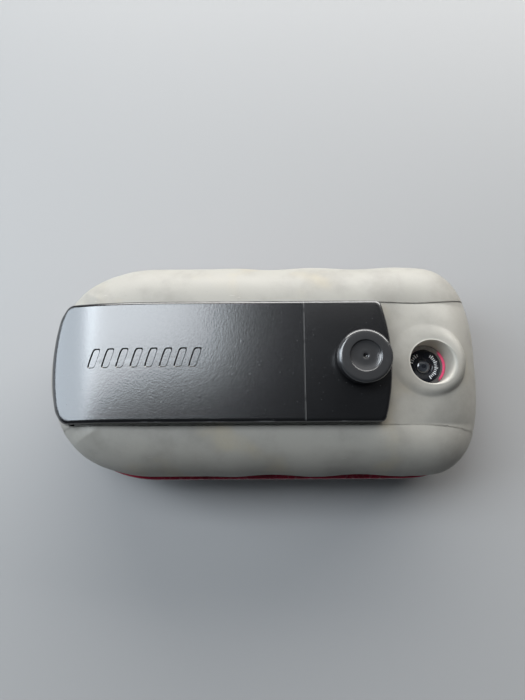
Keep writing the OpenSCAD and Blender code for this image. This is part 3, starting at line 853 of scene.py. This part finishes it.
def camera_well():
    """Well down to the lens, with a rounded mouth."""
    turn = angles(0, 90, 9)
    rim = WELL_R + WELL_LIP
    lip = [(rim - WELL_LIP * math.cos(a), COLLAR_TOP - WELL_LIP + WELL_LIP * math.sin(a)) for a in turn]
    bottom = [(0, 15), (4, 15), (4, WELL_LOW_Z), (WELL_R, WELL_LOW_Z)]
    return lathe("cutter", [*bottom, *lip, (rim, COLLAR_TOP + 3), (0, COLLAR_TOP + 3)], CAMERA_X)


def make_rear_case(material):
    obj = loft("rear_case", panel_relief(rear_rings(SUNK, deck_steps=60)))
    tube = lathe("cutter", [(0, 19), (7.2, 19), (7.2, 29), (0, 29)], CAMERA_X)
    for side in (-1, 1):
        cut(obj, grip_region(side, -0.045), parting_groove(side))
    add(obj, inner_form(GRIP_T + 0.03, PARTING_Z))
    cut(obj, inner_form(GRIP_T + WALL))
    add(obj, tube)
    seat = spine_form(-0.12, SEAM_X, rows=44)
    for lift in (2, 4, 6, 8):
        add(seat, spine_form(-0.12, SEAM_X, rows=44, lift=lift))
    add(seat, block((-70, -11, 0), (SEAT_X, 11, 40)),
        block((-48, -GRIP_CUT_Y, 0), (SEAT_X, GRIP_CUT_Y, 40)))
    cut(seat, spine_form(2.2, SEAM_X, rows=44),
        block((SEAT_X, -20, 0), (20, 20, 45)), block((-70, -20, -1), (20, 20, DOOR_LOW_Z - 0.1)))
    pocket = block((-70, CAP_LOW[1] - 0.1, CAP_LOW[2] - 0.1), (-40, CAP_HIGH[1] + 0.1, 22))
    cut(pocket, inner_form(GRIP_T + 0.1, 5))
    bay = block((TRAY_LOW[0] + 1.2, -14.2, 20), (TRAY_HIGH[0] - 0.8, 14.2, 40))
    slot = block((-60, -3, 22.1), (-49, LATCH_TRAVEL + 3.5, 28.6))
    port = block((-60, -4.5, 15.5), (-50, 4.5, 20.2))
    cut(obj, seat, pocket, bay, slot, port, camera_well(), key_opening())
    finish_piece(obj, "rear_case_shell", "housing", material, "grey_shell", "rear_case", "camera_collar")


def motif_cutter():
    """Row of slanted, chamfered pads sunk into the door."""
    count, pitch, wide, tall, slant = 8, 3.55, 2.1, 4.9, 1.5
    x_mid, y_mid = -28.6, 0.8
    depth, wall = 0.34, 0.30
    cutters = []
    for i in range(count):
        cx = x_mid + (i - (count - 1) / 2) * pitch
        rings = []
        for z, grow in ((BODY_H - depth, -wall), (BODY_H + 0.02, 0.0), (BODY_H + 1, 0.0)):
            a = angles(0, 360, 33)[:-1]
            u = (wide / 2 + grow) * signed_pow(np.cos(a), 2 / 5.0)
            v = (tall / 2 + grow) * signed_pow(np.sin(a), 2 / 5.0)
            x = cx + u + v * slant / tall
            rings.append(np.stack([x, y_mid + v, z - spine_sag(x)], 1))
        cutters.append(loft("cutter", rings))
    return cutters


def make_door(material):
    obj = spine_form(0, SEAM_X - 0.1, rows=90)
    inner = spine_form(1.6, SEAM_X - 1.8, rows=30)
    cut(inner, block((-60, -20, 0), (-50, 20, 27)))
    plan = outline(REAR_LEN, REAR_W, 360)
    deck = loft("cutter", rear_rings(SUNK - 0.06, steps=28, plan=plan, detail=False))
    cut(deck, block((-80, -40, 0), (SEAT_X, 40, 50)))
    cut(obj, inner, spine_form(2, SEAM_X - 1.8, rows=30), deck,
        block((SEAT_X - 0.1, -14.25, 0), (20, 14.25, DECK_Z)), block((-36, -20, 0), (20, 20, DECK_Z)),
        block((-70, -20, 0), (20, 20, DOOR_LOW_Z)))
    for y in HINGE_SIDES:
        add(obj, block((SEAM_X - 3, y - 2, DECK_Z + 0.9), (SEAM_X + 2, y + 2, DECK_Z + 1.9)))
    cut(obj, *latch_recess(), *motif_cutter(), seam_chamfer(SEAM_X - 0.1, -1))
    finish_piece(obj, "battery_door_cover", "battery_door", material, "spine_black", "battery_door")


def seam_chamfer(x, side):
    """Prism that takes the sharp corner off the top edge at the seam."""
    c, over = 0.07, 0.3
    behind, above = x - side * over, BODY_H + 0.1
    ring = [(x + side * c, above), (behind, above), (behind, BODY_H - c - over)]
    points = [(px, y, pz) for y in (-20, 20) for px, pz in ring]
    faces = [(0, 1, 2), (5, 4, 3), (0, 3, 4, 1), (1, 4, 5, 2), (2, 5, 3, 0)]
    obj = new_object("cutter", points, faces)
    turn_faces_out(obj)
    return obj


def turn_faces_out(obj):
    """Turns the mesh's faces outward, whichever way they were listed."""
    bm = bmesh.new()
    bm.from_mesh(obj.data)
    bmesh.ops.recalc_face_normals(bm, faces=bm.faces)
    bm.to_mesh(obj.data)
    bm.free()


def at_latch(points):
    """Places points given in the latch's own frame, whose x axis points into the unit."""
    p = np.asarray(points, float)
    x = p[..., 0] * math.cos(LATCH_TILT) + p[..., 2] * math.sin(LATCH_TILT)
    z = -p[..., 0] * math.sin(LATCH_TILT) + p[..., 2] * math.cos(LATCH_TILT)
    return np.stack([x + LATCH_AT[0], p[..., 1], z + LATCH_AT[2]], -1)


QUARTERS = ((1, 1, 0), (-1, 1, 90), (-1, -1, 180), (1, -1, 270))


def rounded_bar(x0, x1, y0, y1, z0, z1, r, edge=0.0):
    """Bar along the latch's x axis with rounded corners and a rounded outer edge."""
    turn = angles(0, 90, 7)
    rows = []
    for x, grow in ((x0, -edge), (x0 + edge * 0.3, -edge * 0.3), (x0 + edge, 0), (x1, 0)):
        ring = []
        for sy, sz, start in QUARTERS:
            y = y1 - r if sy > 0 else y0 + r
            z = z1 - r if sz > 0 else z0 + r
            round_r = max(r + grow, 0.02)
            for a in turn + math.radians(start):
                ring.append((x, y + round_r * math.cos(a), z + round_r * math.sin(a)))
        rows.append(ring)
    obj = loft("cutter", at_latch(np.array(rows)))
    turn_faces_out(obj)
    return obj


def latch_recess():
    return (rounded_bar(-3, 1, -5.15, LATCH_TRAVEL + 5.15, -2.45, 2.45, 0.9),
            rounded_bar(-1, 6, -2.15, LATCH_TRAVEL + 2.15, -0.7, 0.7, 0.2))


def make_latch(material):
    obj = rounded_bar(0.15, 0.95, -5, 5, -2.3, 2.3, 0.8, 0.2)
    for y in np.arange(-3.6, 3.61, 1.2):
        add(obj, rounded_bar(0.0, 0.4, y - 0.28, y + 0.28, -1.8, 1.8, 0.24, 0.2))
    add(obj, rounded_bar(0.5, 3.6, -2, 2, -0.55, 0.55, 0.2))
    finish_piece(obj, "door_latch_slider", "door_latch", material, "latch_black", "door_latch")


def head_ring(shrink, z):
    """Plan of the spine head, convex towards the camera, with rounded corners."""
    half = SPINE_HALF - shrink
    nose = bowed_end(SPINE_TOP_X - shrink, half, 50.0 - shrink, 1.5)
    plan = np.vstack([[[SEAM_X, -half]], nose, [[SEAM_X, half]]])
    return np.column_stack([plan, np.full(len(plan), z)])


def make_head(material):
    rings = [head_ring(0.12, DECK_Z), head_ring(0, DECK_Z + 0.25)]
    for a in angles(0, 90, 12):
        shrink = SPINE_EDGE_R * (1 - math.cos(a))
        z = BODY_H - SPINE_EDGE_R * (1 - math.sin(a))
        rings.append(head_ring(shrink, z))
    obj = loft("spine_head", rings)
    for y in HINGE_SIDES:
        cut(obj, block((SEAM_X - 1, y - 2.4, DECK_Z - 1), (SEAM_X + 3, y + 2.4, DECK_Z + 2.1)))
    low, high, bore_r = DECK_Z - 1, BODY_H + 2, 1.6
    bore = lathe("cutter", [(0, low), (bore_r, low), (bore_r, high), (0, high)], BUTTON_X)
    cut(obj, bore, seam_chamfer(SEAM_X, 1))
    finish_piece(obj, "spine_head_cover", "housing", material, "spine_black", "spine_head")


def make_button(material):
    low, top = BUTTON_LOW[2], BUTTON_HIGH[2]
    under = low + 2.1
    r = (BUTTON_HIGH[0] - BUTTON_LOW[0]) / 2
    neck = 4.1
    turn = angles(0, 90, 9)
    foot = [(neck + 0.5 - 0.5 * math.sin(a), low + 0.5 - 0.5 * math.cos(a)) for a in turn]
    brim = [(r - 0.45 + 0.45 * math.sin(a), under + 0.75 - 0.45 * math.cos(a)) for a in turn]
    lip = [(r - 0.9 + 0.9 * math.cos(a), top - 0.9 + 0.9 * math.sin(a)) for a in turn]
    dish = [(3.82 - 0.16 * math.sin(a), top - 0.16 + 0.16 * math.cos(a)) for a in turn[::2]]
    face = [(3.6, 0.42), (3.5, 0.47), (1.3, 0.44), (0.75, 0.40), (0.62, 0.45), (0.45, 0.8), (0.2, 0.95),
            (0, 0.96), (0, 1.6), (1.55, 1.6)]
    profile = [(1.55, low), *foot, (neck, under - 0.4), (neck + 0.6, under), (r - 0.6, under + 0.28),
               *brim, *lip, (4.1, top), *dish, *((radius, top - drop) for radius, drop in face)]
    obj = lathe("clip_button", profile, BUTTON_X, segments=160)
    turn_faces_out(obj)
    finish_piece(obj, "clip_button_stud", "housing", material, "button_black", "clip_button", angle=40)


def front_ring(inset, z, count=OUTLINE_POINTS):
    p = outline(BAND_LEN - 2 * inset, BAND_W - 2 * inset, count)
    return np.column_stack([p, np.full(len(p), z)])


def make_front(material):
    band_low = BAND_LOW[2]
    turn = angles(0, 90, 10)
    rings = [front_ring(4.2 - 0.9 * math.sin(a), 0.9 * (1 - math.cos(a))) for a in turn]
    side = [(2.6, 1.75), (2.05, 3.2), (1.6, 5), (1.2, 7), (0.9, 9), (0.7, band_low - 0.35),
            (0.85, band_low - 0.02), (1.35, band_low), (1.35, PARTING_Z)]
    rings += [front_ring(inset, z) for inset, z in side]
    obj = loft("front_case", rings)
    inside = [(5.6, 1.2), (4.6, 3), (3.4, 6), (3.2, 20)]
    cavity = loft("cutter", [front_ring(inset, z, 200) for inset, z in inside])
    window = []
    half_l, half_w, corner = 32.5, 20.0, 0.8
    for z, grow in ((-1, 0.55), (0, 0.55), (0.55, 0.0), (2.5, 0.0)):
        ring = []
        for sx, sy, start in QUARTERS:
            x, y = sx * (half_l - corner), sy * (half_w - corner)
            r = corner + grow
            for a in angles(start, start + 90, 8):
                ring.append((x + r * math.cos(a), y + r * math.sin(a), z))
        window.append(ring)
    cut(obj, cavity, loft("cutter", window))
    finish_piece(obj, "front_case_bezel", "housing", material, "bezel_plastic", "front_case")


def make_band(material):
    low, high = BAND_LOW[2], BAND_HIGH[2]
    mid, half = (low + high) / 2, (high - low) / 2
    rings = [front_ring(1.3, low + 0.02)]
    for a in angles(-90, 90, 17):
        rings.append(front_ring(0.5 - 0.5 * math.cos(a) ** 0.8, mid + (half - 0.02) * math.sin(a)))
    rings.append(front_ring(1.3, high - 0.02))
    obj = loft("accent_band", rings)
    p = outline(BAND_LEN - 2.6, BAND_W - 2.6)
    cut(obj, prism(p, low - 1, high + 1))
    finish_piece(obj, "accent_band_trim", "housing", material, "crimson_plastic", "accent_band")


def make_cap(material):
    """Weather cap over the socket, flush with the end, with a finger ridge."""
    obj = loft("usb_cap", rear_rings(0.03))
    low, high = CAP_LOW, CAP_HIGH
    combine(obj, "INTERSECT", block((-70, low[1], low[2]), (-40, high[1], high[2])))
    cut(obj, inner_form(GRIP_T, 5))
    add(obj, block((-55.9, -3.6, 16.2), (-54.3, 3.6, 19)))
    finish_piece(obj, "usb_cap_cover", "usb_cap", material, "cap_rubber", "usb_cap")


def make_key(material):
    """Rubber power key with a flange behind the grip and a crowned face."""
    back, out = KEY_LOW[1], KEY_HIGH[1]
    rows = [(back, 3.0, 2.4), (back + 0.95, 3.0, 2.4), (back + 1.0, 2.5, 2.05), (out - 0.45, 2.5, 2.05),
            (out - 0.2, 2.5, 1.95), (out - 0.06, 2.5, 1.7), (out, 2.5, 1.3), (out - 0.02, 2.3, 1.0),
            (out - 0.12, 2.0, 0.7)]
    obj = loft("power_key", [key_outline(*row) for row in rows])
    turn_faces_out(obj)
    finish_piece(obj, "power_key_rubber", "power_key", material, "key_rubber", "power_key")


def make_lens(plate_mat, glass_mat, ring_mat):
    """Lens plate, lens and the bright ring round them."""
    r = (PLATE_HIGH[0] - PLATE_LOW[0]) / 2
    z = LENS_Z
    profile = [(1.86, z - 0.8), (r, z - 0.8), (r, z - 0.12), (r - 0.12, z), (2.35, z), (2.25, z - 0.05),
               (2.15, z), (1.98, z - 0.02), (1.86, z - 0.12)]
    plate = lathe("lens_plate", profile, CAMERA_X)
    turn_faces_out(plate)
    finish_piece(plate, "lens_plate_disc", "housing", plate_mat, "lens_plate_black", "lens_plate")
    r = 1.83
    dome = [(r * math.cos(a), z - 0.2 + 0.42 * math.sin(a)) for a in angles(12, 90, 14)]
    dome[-1] = (0.0, dome[-1][1])
    profile = [(0, z - 0.8), (r, z - 0.8), (r, z - 0.15), *dome]
    lens = lathe("camera_lens", profile, CAMERA_X, segments=96)
    turn_faces_out(lens)
    finish_piece(lens, "camera_lens_dome", "housing", glass_mat, "lens_glass", "camera_lens")
    inner, outer, foot = 4.4, 5.38, WELL_LOW_Z + 0.02
    profile = [(inner, foot), (outer, foot), (outer, z + 0.7), (5.3, z + 0.8), (4.9, z + 0.42),
               (4.5, z + 0.12), (inner, z + 0.02)]
    ring = lathe("camera_ring", profile, CAMERA_X)
    turn_faces_out(ring)
    finish_piece(ring, "camera_ring_trim", "housing", ring_mat, "camera_ring_red", "camera_ring")


def make_lens_marks(material):
    """Printed ring of short and long ticks, standing a little proud of the lens plate."""
    points, faces = [], []
    for i, angle in enumerate([*range(-62, 63, 9), *range(118, 173, 11)]):
        a = math.radians(angle)
        out, side = np.array([math.cos(a), math.sin(a)]), np.array([-math.sin(a), math.cos(a)])
        r0 = 2.85
        r1, half = (3.75, 0.13) if i % 3 == 0 else (3.5, 0.09)
        b = len(points)
        for height, grow in ((LENS_Z - 0.01, 0.03), (LENS_Z + 0.03, 0.0)):
            for rr, s in ((r0 - grow, -1), (r1 + grow, -1), (r1 + grow, 1), (r0 - grow, 1)):
                p = out * rr + side * s * (half + grow)
                points.append((CAMERA_X + p[0], p[1], height))
        faces += [(b, b + 3, b + 2, b + 1), (b + 4, b + 5, b + 6, b + 7)]
        faces += [(b + k, b + (k + 1) % 4, b + 4 + (k + 1) % 4, b + 4 + k) for k in range(4)]
    marks = new_object("lens_marks", points, faces)
    finish_piece(marks, "lens_marks", "housing", material, "lens_plate_black", angle=20)


def dress_cad_nodes(looks):
    """Gives each CAD node that stays in view the look of its material slot."""
    for row in frame["record"]["subparts"]:
        obj = frame["nodes"][row["node"]]
        for slot in obj.material_slots:
            slot.material = looks[row["material_slot"]]


# -------------------------------------------------------- floor, light, camera

FLOOR_GAP = 0.00008
FLOOR_HALF = 2500


def make_floor():
    corners = [(FLOOR_HALF * sx, FLOOR_HALF * sy, 0) for sx, sy in ((-1, -1), (1, -1), (1, 1), (-1, 1))]
    obj = new_object("floor", corners, [(0, 1, 2, 3)])
    obj.location.z = cad_box[0].z - FLOOR_GAP
    look = Look("floor_paint", (0.31, 0.31, 0.31), 0.55)
    look.bump(look.noise(1.5, detail=3), 0.02, 0.3)
    obj.data.materials.append(look.material)


LIGHT_TARGET = Vector((0, 0, 0.02))


def area_light(name, place, size, power, color, turn=0.0):
    """Rectangular light aimed at the unit and turned about its own axis."""
    data = bpy.data.lights.new(name, "AREA")
    data.shape = "RECTANGLE"
    data.size, data.size_y = size
    data.energy = power
    data.color = color
    obj = in_scene(name, data)
    obj.location = place
    obj.rotation_mode = "QUATERNION"
    aim = (LIGHT_TARGET - Vector(place)).to_track_quat("-Z", "Y")
    obj.rotation_quaternion = aim @ Quaternion((0, 0, 1), math.radians(turn))


def make_lights():
    """Window along the right-hand grip's side, softbox over the door's end, and a dim room."""
    area_light("window", (0.16, 0.68, 0.30), (1.3, 0.42), 13.8, (1.0, 0.985, 0.96))
    area_light("softbox", (-0.42, 0.30, 0.86), (0.70, 0.38), 6.9, (0.88, 0.94, 1.0), turn=-50)
    area_light("end_panel", (-0.86, 0.18, 0.48), (0.55, 0.72), 7.0, (0.80, 0.90, 1.0))
    area_light("ceiling", (0.30, 0.50, 0.82), (0.7, 0.36), 0.5, (1.0, 1.0, 1.0), turn=30)
    world = bpy.data.worlds.new("studio")
    world.use_nodes = True
    world.node_tree.nodes["Background"].inputs["Color"].default_value = (0.9, 0.94, 1.0, 1)
    world.node_tree.nodes["Background"].inputs["Strength"].default_value = 0.05
    bpy.context.scene.world = world
    bpy.context.scene.view_settings.view_transform = "Standard"


def make_camera():
    """Camera above the back, tipped towards the right-hand grip."""
    focal_in_heights = 525.3 / 700
    tilt, yaw, roll = math.radians(11.28), math.radians(0.29), math.radians(-0.37)
    data = bpy.data.cameras.new("camera")
    data.sensor_width = 36
    data.lens = focal_in_heights * data.sensor_width
    data.clip_start, data.clip_end = 0.01, 20
    obj = in_scene("camera", data)
    obj.location = (0.00058, -0.02239, 0.15929)
    obj.rotation_mode = "YXZ"
    obj.rotation_euler = (tilt, yaw, roll)
    bpy.context.scene.camera = obj


GREY = (0.30, 0.288, 0.258)

make_camera()
make_lights()
make_floor()

LOOKS = {
    "bezel_plastic": moulded_look("bezel_plastic", (0.018, 0.018, 0.020), 0.42),
    "screen_glass": glass_look(),
    "seal_rubber": moulded_look("seal_rubber", (0.03, 0.03, 0.03), 0.7),
    "plated_steel": metal_look("plated_steel", (0.60, 0.60, 0.62), 0.26),
    "flex_film": film_look(),
    "crimson_plastic": crimson_look(),
    "grey_shell": grey_look("grey_shell", GREY, 0.46),
    "grey_rubber": grey_look("grey_rubber", GREY, 0.52),
    "inner_plastic": moulded_look("inner_plastic", (0.022, 0.022, 0.024), 0.5),
    "cell_wrap": cell_look(),
    "contact_brass": metal_look("contact_brass", (0.74, 0.55, 0.25), 0.3),
    "board_laminate": board_look(),
    "ceramic": ceramic_look(),
    "lens_plate_black": moulded_look("lens_plate_black", (0.012, 0.013, 0.018), 0.16, 0.2, 0.002),
    "lens_glass": lens_glass_look(),
    "camera_ring_red": ring_look(),
    "spine_black": spine_look(),
    "button_black": button_look(),
    "foam_pad": foam_look(),
    "latch_black": moulded_look("latch_black", (0.02, 0.02, 0.022), 0.4),
    "cap_rubber": moulded_look("cap_rubber", (0.29, 0.28, 0.25), 0.6),
    "key_rubber": moulded_look("key_rubber", (0.03, 0.03, 0.032), 0.55),
}

dress_cad_nodes(LOOKS)
make_grips(LOOKS["grey_rubber"])
make_rear_case(LOOKS["grey_shell"])
make_door(LOOKS["spine_black"])
make_head(LOOKS["spine_black"])
make_button(LOOKS["button_black"])
make_front(LOOKS["bezel_plastic"])
make_band(LOOKS["crimson_plastic"])
make_cap(LOOKS["cap_rubber"])
make_latch(LOOKS["latch_black"])
make_key(LOOKS["key_rubber"])
make_lens(LOOKS["lens_plate_black"], LOOKS["lens_glass"], LOOKS["camera_ring_red"])
make_lens_marks(moulded_look("mark_white", (0.86, 0.88, 0.90), 0.5, 0.2, 0.002))
